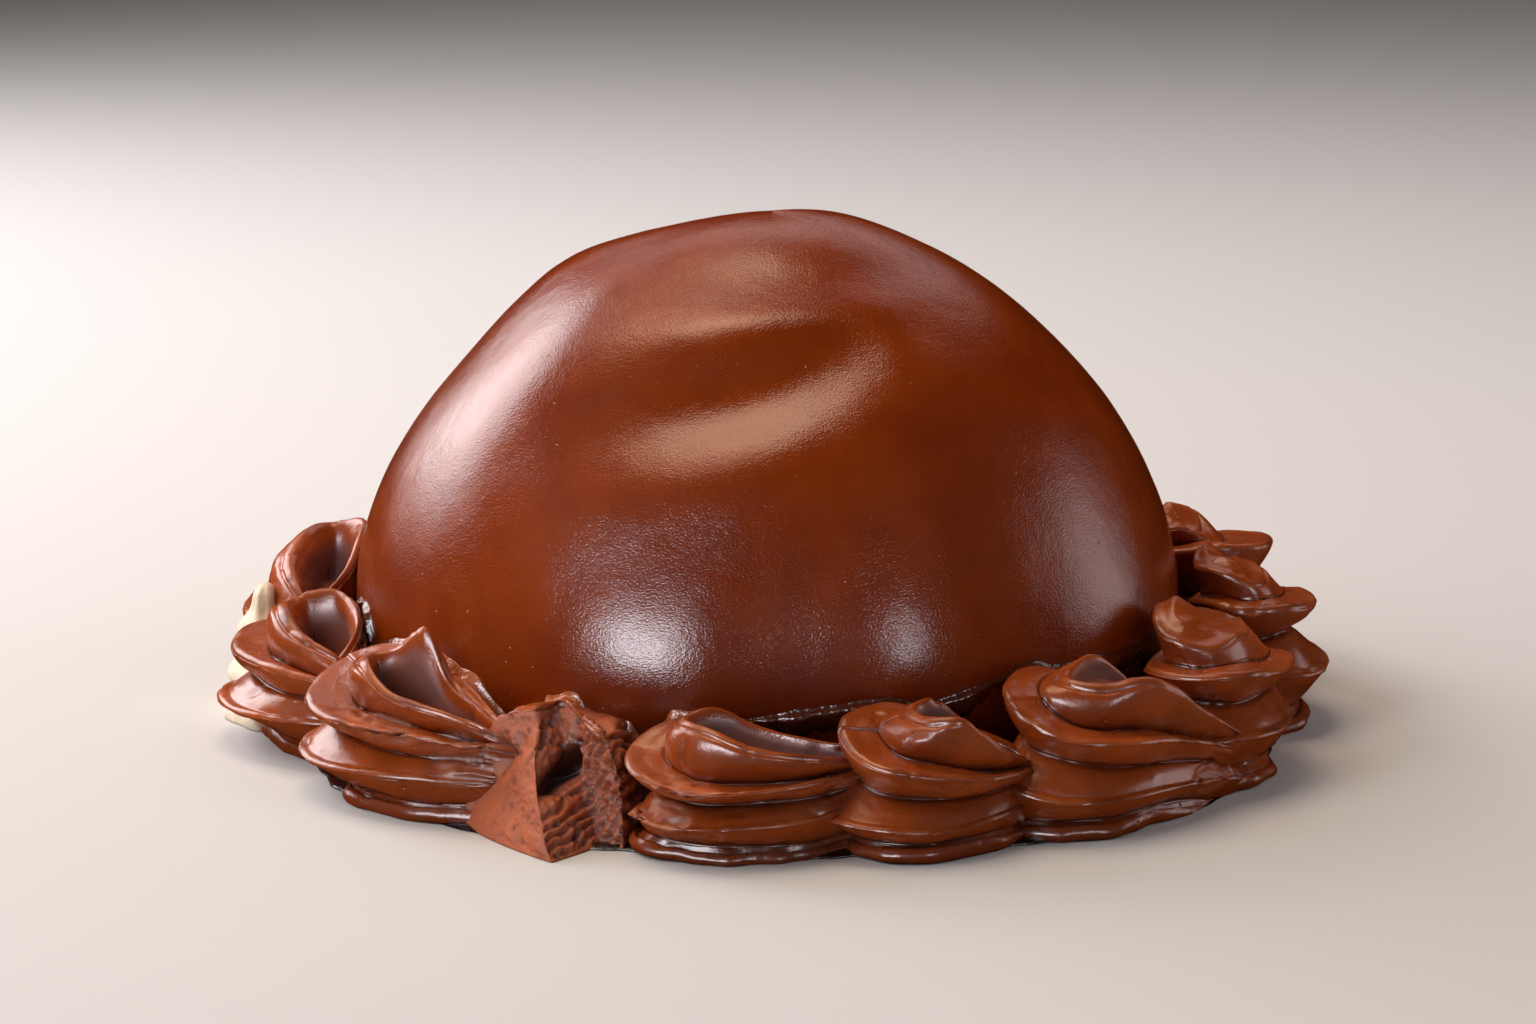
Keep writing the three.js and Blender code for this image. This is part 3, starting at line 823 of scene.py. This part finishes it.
def rows_of(swirl):
    """All rows of a swirl from its foot up: lip, inset, lift and kind."""
    foot, low, mid, curl = (swirl[lip] for lip in ("foot", "low", "mid", "curl"))
    valley, fullness = swirl["valley"], swirl["fullness"]
    curl_valley = (
        swirl["curl_valley_at"], swirl["curl_valley"], swirl["curl_fullness"], 0.6, swirl["dip"],
    )
    return [
        (foot, 6, 0, "flat"),
        (foot, 1.2, 0, "flat"),
        (foot, 0.2, -1.6, "face"),
        (foot, 0, -0.6, "face"),
        (foot, 0.5, 0.4, "face"),
        (foot, 1.3, 1.0, "face"),
        *rising_rows(swirl, foot, low, (0.25, valley * 0.5, fullness, 1, 0)),
        *rising_rows(swirl, low, mid, (swirl["valley_at"], valley, fullness, swirl["slope"], 0)),
        *rising_rows(swirl, mid, curl, curl_valley),
        *(hollow_row(swirl, share) for share in (0.2, 0.5, 0.8, 1)),
        hollow_row(swirl, 1, inset_more=1.5),
    ]


def ripple_at(swirl, seed, angle, level, kind):
    """Slow uneven waves in the lips, which drift from one lip to the next."""
    total = 0
    for order, frequency in enumerate((2, 3, 5)):
        phase = 2 * math.pi * fixed_random(seed, 4 * order + 2 * kind)
        drift = 2 * math.pi * fixed_random(seed, 4 * order + 2 * kind + 1)
        size = swirl["ripple"] / math.sqrt(frequency)
        total = total + size * np.cos(frequency * angle + phase + drift * level)
    return total * np.sin(angle / 2)


def bend_tail(swirl, grid):
    """Sizes the swirl and bends its tail."""
    share = np.clip(grid[..., 0] / swirl["mid"]["tail"], 0, 1.5) ** 2
    return grid * swirl["size"] + share[..., None] * np.array(swirl["tail_bend"])


def swirl_grid(swirl, seed, columns):
    """The rows of one swirl round the cake, with how much rim, face and valley each has."""
    angle = 2 * math.pi * (1 - np.arange(columns) / columns)
    side = np.where(np.sin(angle) > 0, 1, -1)
    rows, marks = [], {"rim": [], "face": [], "valley": [], "hollow": []}
    for lip, inset, lift, kind in rows_of(swirl):
        level = min(max(lip["height"] / 12, 0), 3)
        row = loop_points(swirl, lip, angle, inset, lift)
        if kind == "flat":
            row[:, 2] = 0
        else:
            row[:, 1] += 0.8 * side * ripple_at(swirl, seed, angle, level, 0)
            row[:, 2] += ripple_at(swirl, seed, angle, level, 1)
        rows.append(row)
        for mark in marks:
            marks[mark].append(float(mark == kind))
    grid = bend_tail(swirl, finer_rows(np.stack(rows), 2))
    grid[..., 2] = np.maximum(grid[..., 2], 0)
    marks = {mark: finer_rows(np.array(values), 2)[:, None] for mark, values in marks.items()}
    return round_the_cake(swirl["turn"], grid[..., 0], grid[..., 1], grid[..., 2]), marks


def roughened(grid, seed, amount):
    """The grid with soft lumps, dents and an uneven foot."""
    normal = grid_normals(grid)
    lumps = layered_noise(grid, 9, seed)
    dents = smooth_step(0.45, 0.8, soft_noise(grid, 3.4, seed + 5))
    lift = amount * (lumps - 0.7 * dents)
    lift = lift * smooth_step(0.4, 2.5, grid[..., 2])
    outward = grid * np.array([1, 1, 0])
    outward = outward / np.linalg.norm(outward, axis=-1, keepdims=True)
    spread = layered_noise(grid * np.array([1, 1, 0.4]), 11, seed + 9)
    spread = 3.4 * amount * spread * smooth_step(7, 1, grid[..., 2])
    return grid + normal * lift[..., None] + outward * spread[..., None]


# Torn patches: the swirl, and the middle and spread of the patch along, out and up.
TORN_PATCHES = [
    dict(swirl=1, middle=(-17, 12, 9), spread=(9, 9, 3.5), depth=1.1),
    dict(swirl=1, middle=(-12, 14, 17), spread=(9, 6, 2.2), depth=0.9),
    dict(swirl=14, middle=(4, 12, 19), spread=(13, 7, 2.6), depth=1.2),
    dict(swirl=14, middle=(22, 8, 15), spread=(9, 9, 6), depth=0.9),
    dict(swirl=3, middle=(24, 10, 6), spread=(8, 8, 3), depth=0.8),
]


def torn_share(order, grid):
    """How torn the surface is, from 0 to 1, at each point of a swirl."""
    share = np.zeros(grid.shape[:2])
    for patch in TORN_PATCHES:
        if patch["swirl"] != order + 1:
            continue
        middle = round_the_cake(SWIRLS[order]["turn"], *(np.array(v) for v in patch["middle"]))
        along, out = axes_at(SWIRLS[order]["turn"])
        away = grid - middle
        away = (away @ along, away @ out, away[..., 2])
        far = sum((offset / spread) ** 2 for offset, spread in zip(away, patch["spread"]))
        ragged = far + 0.8 * layered_noise(grid, 5, seed=17)
        share = np.maximum(share, smooth_step(1.25, 0.75, ragged) * patch["depth"])
    return share


# Depth of the strands drawn out along the tails, by swirl.
STRANDS = {1: 0.2, 2: 0.15, 3: 0.5, 4: 0.2, 5: 0.2, 14: 0.35}


def strand_lift(order, grid):
    """Fine ridges along the rows near the tail."""
    rows, columns, _ = grid.shape
    to_tail = np.cos(2 * math.pi * np.arange(columns) / columns)[None, :]
    row = np.arange(rows)[:, None] + 3 * layered_noise(grid, 14, seed=83, layers=2)
    ridges = np.sin(2 * math.pi * row / 6.5)
    share = smooth_step(0.35, 0.95, to_tail) * smooth_step(5, 12, grid[..., 2])
    return STRANDS.get(order + 1, 0.1) * ridges * share


def build_swirl(order, settings, finish):
    """One whole swirl, uneven, with its strands and its torn patches."""
    swirl = with_own_sizes(SWIRLS[order])
    grid, marks = swirl_grid(swirl, order + 1, settings.columns)
    grid = roughened(grid, 20 + 3 * order, settings.unevenness / MM)
    grid = grid + grid_normals(grid) * strand_lift(order, grid)[..., None]
    torn = torn_share(order, grid)
    if torn.max() > 0:
        holes = smooth_step(0.05, 0.5, layered_noise(grid, 2.4, seed=63))
        crumbs = layered_noise(grid, 1.1, seed=69, layers=2)
        lift = torn * (-0.5 - 0.9 * holes + 0.4 * crumbs)
        grid = grid + grid_normals(grid) * lift[..., None]
        grid[..., 2] = np.maximum(grid[..., 2], 0)
    marks["torn"] = np.clip(torn, 0, 1)
    # The foot mark carries painted shade low on the swirl, full below 1 mm and gone above 7 mm.
    marks["foot"] = smooth_step(7, 1, grid[..., 2])
    return skinned(f"piped_swirl_{order + 1:02d}", grid, finish, marks)


# ---- torn swirl


def evenly(line, count):
    """A line of points made into count points, evenly spaced, without its last one."""
    steps = np.linalg.norm(np.diff(line, axis=0), axis=1)
    travelled = np.concatenate([[0], np.cumsum(steps)])
    wanted = np.linspace(0, travelled[-1], count, endpoint=False)
    return np.stack([np.interp(wanted, travelled, line[:, axis]) for axis in (0, 1)], axis=-1)


def torn_row(share, columns):
    """The outline of the torn swirl at a share of its height, as along and out."""
    left = TORN["left"] + 2 * share
    right = TORN["right"] - 3 * share
    foot, top = TORN["edge_foot"], TORN["edge_top"]
    edge_along = foot[0] + (top[0] - foot[0]) * share
    edge_out = foot[1] + (top[1] - foot[1]) * share**1.2
    along = np.linspace(edge_along, left, 60)
    plane = edge_out - (edge_along - along) * (TORN["plane_slope"] + 0.25 * share)
    plane_side = np.stack([along, np.maximum(plane, 6 - 8 * share)], axis=-1)
    back_side = np.array([[left, TORN["back"]], [right, TORN["back"]]])
    along = np.linspace(right, edge_along, 90)
    away = along - edge_along
    floor = TORN["break_foot"] + (TORN["break_top"] - TORN["break_foot"]) * share
    floor = floor + TORN["break_curve"] * away**2
    break_out = np.maximum(edge_out - away * TORN["break_slope"], floor)
    break_side = np.stack([along, break_out], axis=-1)
    third = columns // 3
    sides = [
        evenly(np.concatenate([plane_side, back_side[:1]]), third),
        evenly(back_side, third),
        evenly(np.concatenate([back_side[1:], break_side]), columns - 2 * third),
    ]
    return np.concatenate(sides)[::-1]


def torn_grid(settings):
    """The torn swirl round the cake, as rings from its foot to the middle of its top."""
    rows = []
    for share in np.linspace(0, 1, settings.rows):
        outline = torn_row(share, settings.columns)
        narrowing = 1 - 0.18 * share**4
        up = TORN["height"] * share - 0.012 * (share * (outline[:, 0] + 2)) ** 2
        along = outline[:, 0] * narrowing
        rows.append(np.stack([along, outline[:, 1], np.maximum(up, 0)], axis=-1))
    rim = rows[-1]
    middle = rim.mean(axis=0)
    for share in (0.93, 0.82, 0.66, 0.48, 0.3, 0.14):
        ring = middle + (rim - middle) * share
        ring[:, 2] += 2.5 * (1 - share)
        rows.append(ring)
    grid = np.stack(rows)
    return round_the_cake(TORN["turn"], grid[..., 0], grid[..., 1], grid[..., 2])


def build_torn_swirl(settings):
    """The torn swirl with pores, strands and a hole in its break, and wet lumps on top."""
    grid = torn_grid(settings)
    rows, columns, _ = grid.shape
    normal = grid_normals(grid)
    depth = settings.roughness_depth / MM
    third = columns // 3
    column = np.arange(columns)[None, :]
    break_side = smooth_step(columns - 2 * third + 2, columns - 2 * third - 6, column)
    fringe = smooth_step(columns - 0.14 * columns, columns - 0.07 * columns, column)
    fibres = layered_noise(grid * np.array([0.35, 0.35, 1.0]) + grid[..., :1] * 0.3, 2.6, 59)
    folds = layered_noise(grid, 9, seed=57, layers=2)
    holes = layered_noise(grid, 2.0, seed=61)
    pores = smooth_step(0.12, 0.5, holes)
    crumbs = layered_noise(grid, 1.2, seed=67, layers=2)
    along, up = grid @ axes_at(TORN["turn"])[0], grid[..., 2]
    across = 0.82 * along - 0.57 * up + 2.0 * layered_noise(grid, 7, seed=73, layers=2)
    strands = np.sin(2 * math.pi * across / TORN["strand_step"])
    strands = strands * smooth_step(3, 8, along) * break_side
    hole = ((along - TORN["hole_along"]) / TORN["hole_width"]) ** 2
    hole = hole + ((up - TORN["hole_up"]) / TORN["hole_height"]) ** 2
    hole = np.exp(-hole) * break_side
    on_top = smooth_step(settings.rows - 8, settings.rows, np.arange(rows))[:, None]
    rough = np.clip(break_side + 0.75 * fringe, 0, 1) * (1 - on_top)
    lift = rough * (-0.6 * depth * pores + 0.4 * depth * crumbs + 0.8 * depth * fibres)
    lift = lift + break_side * 1.6 * folds + 0.45 * strands - TORN["hole_depth"] * hole
    lift = lift + on_top * 1.6 * layered_noise(grid, 6, seed=77)
    lift = lift + (1 - rough) * 0.3 * layered_noise(grid, 5, seed=71)
    lift = lift * smooth_step(0, 1.5, grid[..., 2])
    grid = grid + normal * lift[..., None]
    grid[..., 2] = np.clip(grid[..., 2], 0, None)
    # The pore mark is painted shade: dark in the pores and the hole, a little dark over the whole
    # break, and lighter on the strand crests.
    marks = {
        "pore_shade": np.clip(0.6 * pores * rough + 0.15 * break_side + 2 * hole - 0.3 * strands, 0, 1),
        "wet": np.clip(smooth_step(0.25, 0.6, folds) * break_side * 0.6 + on_top, 0, 1),
    }
    return skinned("torn_swirl_stub", grid, torn_finish(settings), marks)


# ---- pale cream


def build_dab(settings):
    """Two lobes and a leaning tip."""
    rows, columns = 60, 72
    angle = 2 * math.pi * np.arange(columns) / columns
    grid = []
    for row in range(rows):
        share = row / rows
        lobes = 0.72 + 0.28 * math.cos(share * 3 * math.pi) ** 2
        size = math.sqrt(1 - share**1.6) * lobes
        wave = 1 + 0.08 * np.cos(5 * angle + 2 * share)
        along = DAB["half_length"] * size * wave * np.cos(angle) - 6 * share**2
        out = DAB["half_width"] * size * wave * -np.sin(angle) + DAB["radius"] - RING_RADIUS
        up = np.full(columns, DAB["height"] * share)
        grid.append(round_the_cake(DAB["turn"], along, out, up))
    grid = roughened(np.stack(grid), 91, 0.5)
    tip = round_the_cake(DAB["turn"], -7, DAB["radius"] - RING_RADIUS, DAB["height"])
    return skinned("pale_cream_dab", grid, cream_finish(settings), top=tip)


# ---- melted glaze


def contact_heights(turns):
    """How high the swirls reach against the covering, at each turn."""
    heights = np.zeros(len(turns))
    for piece in bpy.data.objects:
        if not piece.name.startswith(("piped_swirl", "torn_swirl_stub")):
            continue
        points = np.empty(len(piece.data.vertices) * 3)
        piece.data.vertices.foreach_get("co", points)
        points = points.reshape(-1, 3) / MM
        clear, turn, _ = above_dome(points)
        touching = (clear > -1) & (clear < 2.5) & (points[:, 2] > 5)
        index = np.round(turn[touching] / (turns[1] - turns[0])).astype(int) % len(turns)
        np.maximum.at(heights, index, points[touching, 2])
    known = heights > 0
    return np.interp(turns, turns[known], heights[known], period=360)


def blurred(values, reach):
    """A closed row of values averaged over its neighbours."""
    weights = np.hanning(2 * reach + 3)[1:-1]
    padded = np.concatenate([values[-reach:], values, values[:reach]])
    return np.convolve(padded, weights / weights.sum(), mode="valid")


def build_bead(settings):
    """The fillet of melted glaze where the swirls lean on the covering."""
    turns = np.linspace(0, 360, 720, endpoint=False)
    heights = blurred(contact_heights(turns), 2)
    radius = 90
    around = np.radians(turns)
    ring = np.stack([np.sin(around) * radius, np.cos(around) * radius, heights], -1)
    uneven = 1 + 1.1 * layered_noise(ring, 6, seed=101)
    thickest = 325  # the turn where the glaze ran most, beside the torn swirl
    away = (turns - thickest + 180) % 360 - 180
    thick = smooth_step(34, 18, np.abs(away))
    size = settings.bead_radius / MM * np.clip(uneven, 0.15, 2.2) * (1 + 0.9 * thick)
    # Each pair is how far up from the contact, and how far out from the covering.
    section = [
        (1.1, -0.1), (0.9, 0.12), (0.5, 0.3), (0.0, 0.7), (-0.5, 1.3), (-1.1, 1.7), (-2.0, 1.6),
        (-5, 0.7), (-7, 0.2), (-7, -0.4), (-2, -0.5),
    ]
    rows = []
    for rise, lift in section:
        above = (heights + rise * size - DOME["waist_z"]) / DOME["radius"]
        climb = np.degrees(np.arcsin(np.clip(above, -1, 1)))
        rows.append(dome_points(turns, climb, lift * size))
    grid = np.stack(rows[::-1])
    # The bead's colour is partly its own caramel tone and partly painted glow of light through the
    # thin glaze.
    finish = glaze_finish("melted glaze bead", settings.bead_colour)
    faces = ring_faces(len(section), len(turns), closed_rows=True)
    marks = {"thick": np.tile(thick, len(section))}
    return make_object("melted_glaze_bead", grid.reshape(-1, 3), faces, finish, marks)


def build_film(settings):
    """The thin dark glaze that ran out under the swirls."""
    turns = np.radians(np.linspace(0, 360, 540, endpoint=False))
    radius = 120
    circle = np.stack([np.sin(turns) * radius, -np.cos(turns) * radius, 0 * turns], -1)
    edge = radius + 1 + 4.5 * layered_noise(circle, 22, seed=111, layers=4)
    thick = settings.film_height / MM
    # Each pair is how far in from the edge, and the share of the thickness.
    profile = [
        (0.3, 0.0), (0.0, 0.08), (0.35, 0.4), (1.2, 0.75), (3.0, 0.95), (24.0, 1.0), (26.0, 0.0)
    ]
    rows = []
    for inward, level in profile:
        reach = edge - inward
        up = np.full(len(turns), level * thick)
        rows.append(np.stack([reach * np.sin(turns), -reach * np.cos(turns), up], -1))
    grid = np.stack(rows)
    finish = glaze_finish("dark glaze film", settings.film_colour)
    faces = ring_faces(len(profile), len(turns), closed_rows=True)
    return make_object("dark_glaze_film", grid.reshape(-1, 3), faces, finish)


# ---- stage


def aim(item, target):
    """Turns a camera or a light towards a point."""
    item.rotation_mode = "QUATERNION"
    item.rotation_quaternion = (Vector(target) - item.location).to_track_quat("-Z", "Y")


def add_camera(settings):
    """A camera at the photograph's viewing angle."""
    width = 1536
    focal_pixels = 4109.07
    turn = math.radians(-0.1796)
    tilt = math.radians(2.932)
    foot_drop = 0.0033
    climb = settings.camera_climb
    data = bpy.data.cameras.new("view")
    data.sensor_fit = "HORIZONTAL"
    data.sensor_width = 36
    data.lens = focal_pixels / width * data.sensor_width
    camera = bpy.data.objects.new("view", data)
    bpy.context.scene.collection.objects.link(camera)
    distance = settings.camera_distance
    camera.location = (0, -distance * math.cos(climb), distance * math.sin(climb) - foot_drop)
    pitch = climb - tilt
    forward = Vector(
        (math.sin(turn) * math.cos(pitch), math.cos(turn) * math.cos(pitch), -math.sin(pitch))
    )
    aim(camera, camera.location + forward)
    bpy.context.scene.camera = camera


LIT_HEIGHT = 0.06  # the lamps are turned to this height, in metres, half way up the cake


def add_softbox(name, turn, climb, distance, size, watts, colour, seen_by="all"):
    """A soft rectangular light at a turn and a climb round the cake."""
    data = bpy.data.lights.new(name, "AREA")
    data.shape = "RECTANGLE"
    data.size, data.size_y = size
    data.energy = watts
    data.color = colour
    light = bpy.data.objects.new(name, data)
    light.visible_glossy = seen_by != "colour"
    light.visible_diffuse = seen_by != "gloss"
    bpy.context.scene.collection.objects.link(light)
    level = distance * math.cos(math.radians(climb))
    light.location = (
        level * math.sin(math.radians(turn)),
        -level * math.cos(math.radians(turn)),
        LIT_HEIGHT + distance * math.sin(math.radians(climb)),
    )
    aim(light, (0, 0, LIT_HEIGHT))


def add_floor(settings):
    """A wide pale floor just under the cake."""
    steps = 24
    half = 6000
    drop = -0.15
    line = np.linspace(-half, half, steps)
    x, y = np.meshgrid(line, line)
    points = np.stack([x, y, np.full_like(x, drop)], -1).reshape(-1, 3)
    faces = [
        [row * steps + column, row * steps + column + 1, (row + 1) * steps + column + 1,
         (row + 1) * steps + column]
        for row in range(steps - 1)
        for column in range(steps - 1)
    ]
    floor = make_object("pale_floor", points, faces, floor_finish(settings))
    floor.visible_glossy = False


def add_lights():
    """Soft studio light: broad at the left and behind, low at the front."""
    cool, warm = (0.86, 0.92, 1.0), (1.0, 0.72, 0.50)
    add_softbox("left window", -127, 27, 1.3, (0.8, 0.85), 15, (1.0, 0.94, 0.95))
    add_softbox("front left window", -32, 16, 1.3, (1.0, 0.5), 31, cool, seen_by="gloss")
    add_softbox("front right window", 32, 14, 1.3, (0.3, 0.28), 4, cool, seen_by="gloss")
    add_softbox("high lamp", -140, 74, 1.3, (0.7, 0.7), 8, warm)
    add_softbox("back window", 175, 38, 1.4, (1.2, 0.35), 1.6, (1.0, 0.93, 0.92))
    add_softbox("right window", 102, 10, 1.5, (0.8, 0.7), 4, (1.0, 0.90, 0.93))
    add_softbox("fill", -72, 40, 1.6, (1.2, 1.2), 15, (1.0, 0.90, 0.80), seen_by="colour")
    add_softbox("right fill", 70, 40, 1.6, (1.2, 1.2), 3, (1.0, 0.90, 0.80), seen_by="colour")
    world = bpy.data.worlds.new("room")
    world.use_nodes = True
    background = world.node_tree.nodes["Background"]
    background.inputs["Color"].default_value = (1.0, 0.98, 0.96, 1.0)
    background.inputs["Strength"].default_value = 0.07
    world.cycles_visibility.glossy = False
    bpy.context.scene.world = world


# ---- operators


class CAKE_OT_set_stage(bpy.types.Operator):
    """Adds the floor, the light and the camera"""

    bl_idname = "cake.set_stage"
    bl_label = "Set the Stage"

    def execute(self, context):
        settings = context.scene.cake_stage
        add_camera(settings)
        add_floor(settings)
        add_lights()
        context.scene.view_settings.view_transform = "Standard"
        return {"FINISHED"}


class CAKE_OT_cover_dome(bpy.types.Operator):
    """Shapes the dome and its chocolate covering"""

    bl_idname = "cake.cover_dome"
    bl_label = "Cover the Dome"

    def execute(self, context):
        piece = build_dome(context.scene.cake_dome)
        stand_in(piece, ["dome"])
        return {"FINISHED"}


class CAKE_OT_pipe_swirls(bpy.types.Operator):
    """Pipes the whole swirls round the foot"""

    bl_idname = "cake.pipe_swirls"
    bl_label = "Pipe the Swirls"

    def execute(self, context):
        settings = context.scene.cake_swirls
        finish = piped_finish(settings)
        for order in range(len(SWIRLS)):
            node = f"swirl_{order + 1:02d}"
            if node not in frame["nodes"]:
                raise RuntimeError(f"the frame has no node {node} for this swirl")
            stand_in(build_swirl(order, settings, finish), [node])
        return {"FINISHED"}


class CAKE_OT_tear_swirl(bpy.types.Operator):
    """Shapes the broken swirl"""

    bl_idname = "cake.tear_swirl"
    bl_label = "Tear a Swirl"

    def execute(self, context):
        piece = build_torn_swirl(context.scene.cake_torn)
        stand_in(piece, ["torn_swirl"])
        return {"FINISHED"}


class CAKE_OT_dab_cream(bpy.types.Operator):
    """Adds the pale cream at the left"""

    bl_idname = "cake.dab_cream"
    bl_label = "Dab the Cream"

    def execute(self, context):
        piece = build_dab(context.scene.cake_dab)
        stand_in(piece, ["cream_dab"])
        return {"FINISHED"}


class CAKE_OT_melt_glaze(bpy.types.Operator):
    """Runs melted glaze between the pieces"""

    bl_idname = "cake.melt_glaze"
    bl_label = "Melt the Glaze"

    def execute(self, context):
        settings = context.scene.cake_glaze
        stand_in(build_bead(settings), [])
        stand_in(build_film(settings), [])
        return {"FINISHED"}


class CAKE_PT_panel(bpy.types.Panel):
    """The steps of the cake, in order"""

    bl_idname = "CAKE_PT_panel"
    bl_label = "Chocolate Cake"
    bl_space_type = "VIEW_3D"
    bl_region_type = "UI"
    bl_category = "Cake"

    def draw(self, context):
        for step in STEPS:
            self.layout.operator(step.bl_idname)
        for name in SETTINGS:
            settings = getattr(context.scene, name)
            box = self.layout.box()
            for key in settings.__annotations__:
                box.prop(settings, key)


SETTINGS = {
    "cake_stage": StageSettings,
    "cake_dome": DomeSettings,
    "cake_swirls": SwirlSettings,
    "cake_torn": TornSettings,
    "cake_dab": DabSettings,
    "cake_glaze": GlazeSettings,
}

STEPS = (
    CAKE_OT_set_stage,
    CAKE_OT_cover_dome,
    CAKE_OT_pipe_swirls,
    CAKE_OT_tear_swirl,
    CAKE_OT_dab_cream,
    CAKE_OT_melt_glaze,
)


def register():
    for name, group in SETTINGS.items():
        bpy.utils.register_class(group)
        setattr(bpy.types.Scene, name, PointerProperty(type=group))
    for item in (*STEPS, CAKE_PT_panel):
        bpy.utils.register_class(item)


def unregister():
    for item in (CAKE_PT_panel, *reversed(STEPS)):
        bpy.utils.unregister_class(item)
    for name, group in SETTINGS.items():
        delattr(bpy.types.Scene, name)
        bpy.utils.unregister_class(group)


def main():
    """Makes the whole cake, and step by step."""
    register()
    bpy.ops.cake.set_stage()
    bpy.ops.cake.cover_dome()
    bpy.ops.cake.pipe_swirls()
    bpy.ops.cake.tear_swirl()
    bpy.ops.cake.dab_cream()
    bpy.ops.cake.melt_glaze()


if __name__ == "__main__":
    main()
